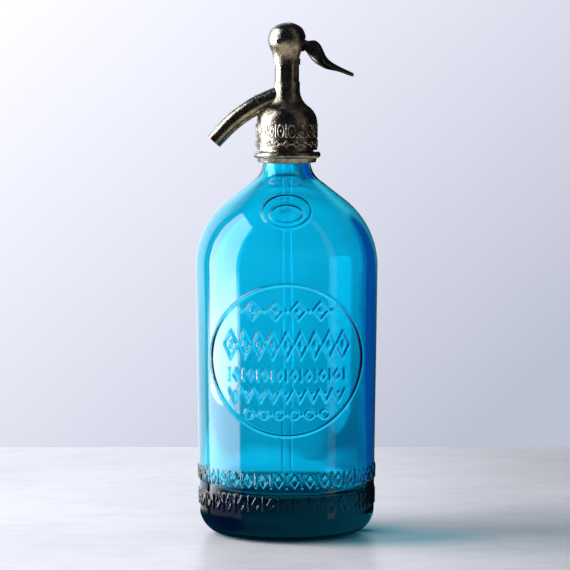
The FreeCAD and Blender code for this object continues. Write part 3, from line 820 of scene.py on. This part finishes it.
def marble_veins(tree):
    """Faint grey veins that run along the table, as a colour to multiply by."""
    texture = tree.nodes.new("ShaderNodeTexNoise")
    texture.inputs["Scale"].default_value = 1.0
    texture.inputs["Detail"].default_value = 5
    texture.inputs["Distortion"].default_value = 1.6
    tree.links.new(placed(tree, (0, 0, 0), vein_size), texture.inputs["Vector"])
    return ramp(tree, texture.outputs["Fac"], vein_tones)


def painted_glass_shadow(tree):
    """The bottle's blue-green shadow, painted on the table, as a colour to multiply by."""
    wide = length_of(tree, placed(tree, glass_shade_centre, glass_shade_size))
    near = length_of(tree, placed(tree, heel_shade_centre, heel_shade_size))
    return multiplied(tree, ramp(tree, wide, painted_glass_shadow_tints), ramp(tree, near, painted_heel_shadow_tints))


def add_table():
    """A pale table with the bottle's shadow painted into its colour, and less glossy beside the heel.
    """
    corners = [
        (-table_reach, -table_reach, 0),
        (table_reach, -table_reach, 0),
        (table_reach, table_back, 0),
        (-table_reach, table_back, 0),
    ]
    table = mesh_object("table", corners, [(0, 1, 2, 3)])
    material, tree, output = new_material("pale_table")
    shader = tree.nodes.new("ShaderNodeBsdfPrincipled")
    clouds = ramp(tree, noise(tree, scale=5, detail=6), cloud_tones)
    veined = multiplied(tree, clouds, marble_veins(tree))
    # the bottle's shadow, painted into the table's colour
    tree.links.new(multiplied(tree, veined, painted_glass_shadow(tree)), shader.inputs["Base Color"])
    shader.inputs["Roughness"].default_value = 0.35
    # the gloss fades out beside the heel, which darkens the painted shadow there
    away = length_of(tree, placed(tree, heel_shade_centre, heel_shade_size))
    gloss_share = smooth_step(tree, away, dull_end, glossy_start)
    gloss = math_node(tree, "MULTIPLY", gloss_share, table_gloss)
    tree.links.new(gloss, shader.inputs["Specular IOR Level"])
    tree.links.new(shader.outputs["BSDF"], output.inputs["Surface"])
    table.data.materials.append(material)
    table.visible_glossy = False
    table.visible_transmission = False


def background(tree, colour, strength=1.0):
    """A background shader; colour is three numbers or a colour output."""
    node = tree.nodes.new("ShaderNodeBackground")
    node.inputs["Strength"].default_value = strength
    if isinstance(colour, tuple):
        node.inputs["Color"].default_value = (*colour, 1)
    else:
        tree.links.new(colour, node.inputs["Color"])
    return node.outputs[0]


def mixed(tree, factor, first, second):
    """A mix of two shaders."""
    node = tree.nodes.new("ShaderNodeMixShader")
    tree.links.new(factor, node.inputs[0])
    tree.links.new(first, node.inputs[1])
    tree.links.new(second, node.inputs[2])
    return node.outputs[0]


def math_node(tree, operation, first, second):
    """A clamped calculation on two values, each an output or a number."""
    node = tree.nodes.new("ShaderNodeMath")
    node.operation = operation
    node.use_clamp = True
    for value, socket in ((first, node.inputs[0]), (second, node.inputs[1])):
        if isinstance(value, (int, float)):
            socket.default_value = value
        else:
            tree.links.new(value, socket)
    return node.outputs[0]


def part_along(tree, direction, axis):
    """The dot product of a direction with a fixed axis."""
    dot = tree.nodes.new("ShaderNodeVectorMath")
    dot.operation = "DOT_PRODUCT"
    tree.links.new(direction, dot.inputs[0])
    dot.inputs[1].default_value = axis
    return dot.outputs["Value"]


def lobe(tree, direction, azimuth, near, far):
    """1 within near degrees of a level direction, 0 beyond far degrees. Azimuth 0 is +Y, 90 is +X."""
    axis = (sin(radians(azimuth)), cos(radians(azimuth)), 0)
    nearness = part_along(tree, direction, axis)
    return smooth_step(tree, nearness, cos(radians(far)), cos(radians(near)))


def level_part(tree, direction):
    """The direction with its rise taken out, at unit length."""
    flat = tree.nodes.new("ShaderNodeVectorMath")
    flat.operation = "MULTIPLY"
    tree.links.new(direction, flat.inputs[0])
    flat.inputs[1].default_value = (1, 1, 0)
    unit = tree.nodes.new("ShaderNodeVectorMath")
    unit.operation = "NORMALIZE"
    tree.links.new(flat.outputs[0], unit.inputs[0])
    return unit.outputs[0]


def smooth_step(tree, value, start, end):
    """0 before start and 1 past end, with a soft passage between them."""
    edge = tree.nodes.new("ShaderNodeMapRange")
    edge.interpolation_type = "SMOOTHSTEP"
    tree.links.new(value, edge.inputs["Value"])
    edge.inputs["From Min"].default_value = start
    edge.inputs["From Max"].default_value = end
    return edge.outputs["Result"]


def by_height(tree, rise, level, stops):
    """A background whose colour changes with the direction's rise, from stops of (rise, colour)."""
    share = tree.nodes.new("ShaderNodeMapRange")
    tree.links.new(rise, share.inputs["Value"])
    share.inputs["From Min"].default_value = -1
    places = [((height + 1) / 2, tuple(part / level for part in colour)) for height, colour in stops]
    return background(tree, ramp(tree, share.outputs["Result"], places), level)


def mirrored_room(tree, direction, rise):
    """What metal and glass mirror: a dark room with a bright wall, a window's sill and a table.

    Each stop is the rise of a direction and the colour that lies there.
    """
    flat = level_part(tree, direction)
    below = [(-1.0, table_glow), (-0.5, table_glow)]
    dark_side = by_height(tree, rise, 1, below + [(-0.28, dark_room), (1.0, dark_room)])
    wall_stops = [(-0.30, near_table), (-0.17, near_table), (-0.15, bright_wall)]
    wall_stops += [(0.50, bright_wall), (0.75, dark_room), (1.0, dark_room)]
    bright_side = by_height(tree, rise, bright_wall_level, below + wall_stops)
    sill_stops = [(-0.30, near_table), (-0.164, near_table), (-0.156, sill_glow)]
    sill_stops += [(-0.112, sill_glow), (-0.090, dark_room), (1.0, dark_room)]
    window_side = by_height(tree, rise, sill_level, below + sill_stops)
    room = mixed(tree, lobe(tree, flat, *bright_wall_lobe), dark_side, bright_side)
    room = mixed(tree, lobe(tree, flat, *sill_lobe), room, window_side)
    return mixed(tree, lobe(tree, flat, *streak_lobe), room, background(tree, streak_glow))


def room_through_glass(tree, direction, parts, wall_colour):
    """What the glass shows: the wall, dimmer to the right and low down, over the table's top."""
    across, rise = parts.outputs["X"], parts.outputs["Z"]
    dark_wall = background(tree, shaded_wall, glass_level)
    beyond = mixed(
        tree,
        smooth_step(tree, rise, *lower_wall_rises),
        background(tree, wall_colour, glass_level),
        background(tree, wall_colour, glass_level * lower_wall_share),
    )
    shaded = smooth_step(tree, part_along(tree, direction, corner_fall), *corner_passage)
    beyond = mixed(tree, shaded, beyond, dark_wall)
    far_table = mixed(
        tree,
        smooth_step(tree, across, *shaded_table_sides),
        background(tree, wall_colour, glass_level * far_table_share),
        dark_wall,
    )
    table_seen = mixed(
        tree,
        smooth_step(tree, rise, *near_table_rises),
        far_table,
        background(tree, wall_colour, glass_level * near_table_share),
    )
    beyond = mixed(tree, smooth_step(tree, rise, *far_table_rises), beyond, table_seen)
    above_table = smooth_step(tree, rise, *dim_side_rises)
    dim_side = math_node(tree, "MULTIPLY", lobe(tree, direction, *dim_side_lobe), above_table)
    beyond = mixed(tree, dim_side, beyond, background(tree, dim_side_colour))
    overhead = smooth_step(tree, rise, *ceiling_rises)
    return mixed(tree, overhead, beyond, background(tree, dark_ceiling))


def add_world():
    """The room, with a pale wall that fades from the upper left to the lower right.

    The camera sees that wall. Rays that leave the glass, mirrored rays and the light on matt
    surfaces each see colours of their own, which are fitted to the photograph from the front.
    """
    world = bpy.data.worlds.new("room")
    bpy.context.scene.world = world
    world.use_nodes = True
    tree = world.node_tree
    tree.nodes.clear()
    output = tree.nodes.new("ShaderNodeOutputWorld")
    path = tree.nodes.new("ShaderNodeLightPath")
    direction = tree.nodes.new("ShaderNodeTexCoord").outputs["Generated"]
    spread = tree.nodes.new("ShaderNodeMapRange")
    tree.links.new(part_along(tree, direction, wall_fall), spread.inputs["Value"])
    spread.inputs["From Min"].default_value = wall_bright_end
    spread.inputs["From Max"].default_value = wall_dim_end
    wall_colour = ramp(tree, spread.outputs["Result"], [(0, wall_bright), (1, wall_dim)])
    seen = background(tree, wall_colour, wall_level)
    parts = tree.nodes.new("ShaderNodeSeparateXYZ")
    tree.links.new(direction, parts.inputs[0])
    through_glass = room_through_glass(tree, direction, parts, wall_colour)
    mirrored = mirrored_room(tree, direction, parts.outputs["Z"])
    transmitted = path.outputs["Is Transmission Ray"]
    reflected = math_node(tree, "SUBTRACT", path.outputs["Is Glossy Ray"], transmitted)
    shader = mixed(tree, transmitted, seen, through_glass)
    shader = mixed(tree, reflected, shader, mirrored)
    fill = background(tree, room_fill, room_fill_level)
    shader = mixed(tree, path.outputs["Is Diffuse Ray"], shader, fill)
    tree.links.new(shader, output.inputs["Surface"])


# ---------------------------------------------------------------- dressing


def dress(names, material):
    """Gives CAD nodes a material of this scene."""
    for name in names:
        slots = nodes[name].data.materials
        slots.clear()
        slots.append(material)


def dress_nodes():
    """Gives every CAD node but the bottle its look, and returns the head's metal."""
    head = metal_material(
        "head_metal",
        worn=(0.62, 0.62, 0.60),
        tarnished=(0.17, 0.155, 0.125),
        roughness=(0.08, 0.17),
        pit_depth=0.0002,
        pit_scale=1300,
    )
    smooth = metal_material(
        "spout_metal",
        worn=(0.60, 0.59, 0.54),
        tarnished=(0.22, 0.20, 0.15),
        roughness=(0.08, 0.18),
        pit_depth=0.00012,
    )
    dark = metal_material(
        "lever_metal",
        worn=(0.24, 0.23, 0.21),
        tarnished=(0.07, 0.065, 0.06),
        roughness=(0.12, 0.24),
    )
    brass = metal_material(
        "brass",
        worn=(0.80, 0.58, 0.25),
        tarnished=(0.45, 0.30, 0.12),
        roughness=(0.25, 0.4),
    )
    steel = metal_material(
        "steel",
        worn=(0.55, 0.55, 0.53),
        tarnished=(0.30, 0.29, 0.27),
        roughness=(0.2, 0.35),
    )
    rubber = rubber_material("rubber", (0.05, 0.045, 0.04))
    liner = rubber_material("liner", (0.10, 0.08, 0.05))
    clear = glass_material(
        "clear_glass",
        tint=(0.94, 0.98, 1.0),
        absorbed=(0.35, 0.9, 0.95),
        density=20,
        ior=1.05,
        coat=1.0,
    )
    dress(["head_body", "dome_cap", "collar_half_front", "collar_half_rear"], head)
    dress(["spout_tube", "spring_barrel"], smooth)
    dress(["lever"], dark)
    dress(["lever_pin", "spring_washer", "plunger_spring", "spout_joint_ring"], steel)
    brass_nodes = ["tube_ferrule", "valve_seat", "gland_washer", "plunger", "plunger_button"]
    dress(brass_nodes + ["backing_plate", "valve_nut"], brass)
    dress(["tube_seal", "mouth_gasket", "packing_ring", "valve_washer"], rubber)
    dress(["collar_liner"], liner)
    dress(["dip_tube"], clear)
    return head


def add_bottle():
    """The bottle with its full ornament, in place of the CAD node."""
    bottle = bottle_mesh()
    glass = glass_material(
        "blue_glass", tint=(0.05, 0.835, 1.0), absorbed=(0.0, 0.22, 0.28), density=50, ior=1.5
    )
    bottle.data.materials.append(glass)
    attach(bottle, "root")
    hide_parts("bottle")


def bell_ornament(angle, z):
    """Two rows of plain ornament around the bell, as height shares."""
    around = angle * bell_radius
    turn = 2 * pi * bell_radius
    upper_pitch = turn / bell_upper_count
    own = repeated(around, upper_pitch)
    between = repeated(around + upper_pitch / 2, upper_pitch)
    up = z - bell_upper_height
    half = bell_upper_half_height
    relief = [upright_bar(own, up, half, bell_bar_width)]
    oval = oval_distance(between, up, bell_oval_half_width, half - bell_oval_inset)
    relief.append(ridge(oval, bell_oval_line))
    relief.append(bead(between, up / bell_grain_stretch, bell_grain))
    lower_pitch = turn / bell_lower_count
    own = repeated(around, lower_pitch)
    between = repeated(around + lower_pitch / 2, lower_pitch)
    down = z - bell_lower_height
    half = bell_lower_half_height
    relief.append(lozenge_line_at(own, down, bell_lozenge_half_width, half, fine_line))
    relief.append(bead(between, down, bell_bead))
    return np.maximum.reduce(relief)


def add_bell_ornament(metal):
    """The ornament raised on the bell's wall; between the motifs its mesh lies inside the wall."""
    low = bell_lower_height - bell_lower_half_height - bell_margin
    high = bell_upper_height + bell_upper_half_height + bell_margin
    rows = int((high - low) / bell_step)
    columns = int(2 * pi * bell_radius / bell_step)
    heights = np.repeat(np.linspace(low, high, rows)[:, None], columns, axis=1)
    angles = np.linspace(0, 2 * pi, columns, endpoint=False)
    share = bell_ornament(np.broadcast_to(angles, heights.shape), heights)
    above = np.maximum(heights - bell_shoulder_start, 0)
    wall_radii = bell_radius - bell_shoulder_radius + np.sqrt(bell_shoulder_radius**2 - above**2)
    radii = wall_radii - bell_sunk + (bell_sunk + bell_relief) * share
    points = spun_points(radii, heights, angles)
    ornament = mesh_object("bell_ornament", points.tolist(), spun_faces(rows, columns))
    ornament.data.materials.append(metal)
    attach(ornament, "root")


add_camera()
add_world()
add_table()
add_painted_foot_shade()
add_window()
head_metal = dress_nodes()
add_bottle()
add_bell_ornament(head_metal)
bpy.context.scene.view_settings.view_transform = "Standard"
